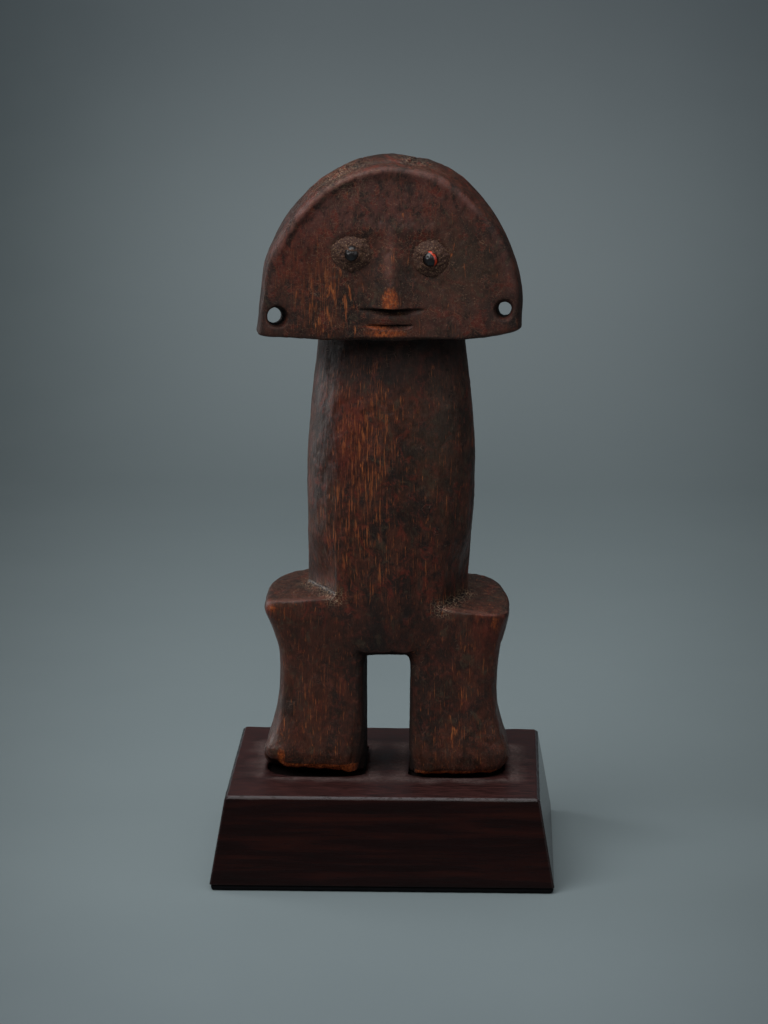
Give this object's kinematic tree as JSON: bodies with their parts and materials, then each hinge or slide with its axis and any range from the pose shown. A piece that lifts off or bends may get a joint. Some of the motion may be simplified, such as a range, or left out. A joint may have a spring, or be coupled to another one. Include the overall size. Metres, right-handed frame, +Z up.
{
  "type": "fertility doll",
  "caption": "Carved wooden doll with a half-disc head, pierced ear corners, seed eyes and square legs, lifted on and off the pins of a dark display base.",
  "frame": {"origin": "centre of the display base's underside, on the surface it stands on", "axes": "+Z up, the doll faces -Y, +X towards the right as its front is viewed"},
  "size_m": [0.1098, 0.0932, 0.2312],
  "materials": {
    "figure_wood": "hand-rubbed dark patina, worn at the edges",
    "eye_resin": "dry crusted tree gum",
    "eye_seed": "polished seed coat",
    "base_wood": "dark stained hardwood, semi-gloss",
    "pin_steel": "bright drawn rod",
    "felt": "black felt"
  },
  "bodies": {
    "stand": {"display_base": "base_wood", "base_felt_pad": "felt", "mount_pin_left": "pin_steel", "mount_pin_right": "pin_steel"},
    "figure": {"carved_figure": "figure_wood", "eye_resin_left": "eye_resin", "eye_resin_right": "eye_resin", "eye_seed_left": "eye_seed", "eye_seed_right": "eye_seed"}
  },
  "joints": [
    {"name": "figure_lift", "type": "slide", "parent": "stand", "child": "figure", "axis": [0, 0, 1], "range_m": [0, 0.03]}
  ]
}
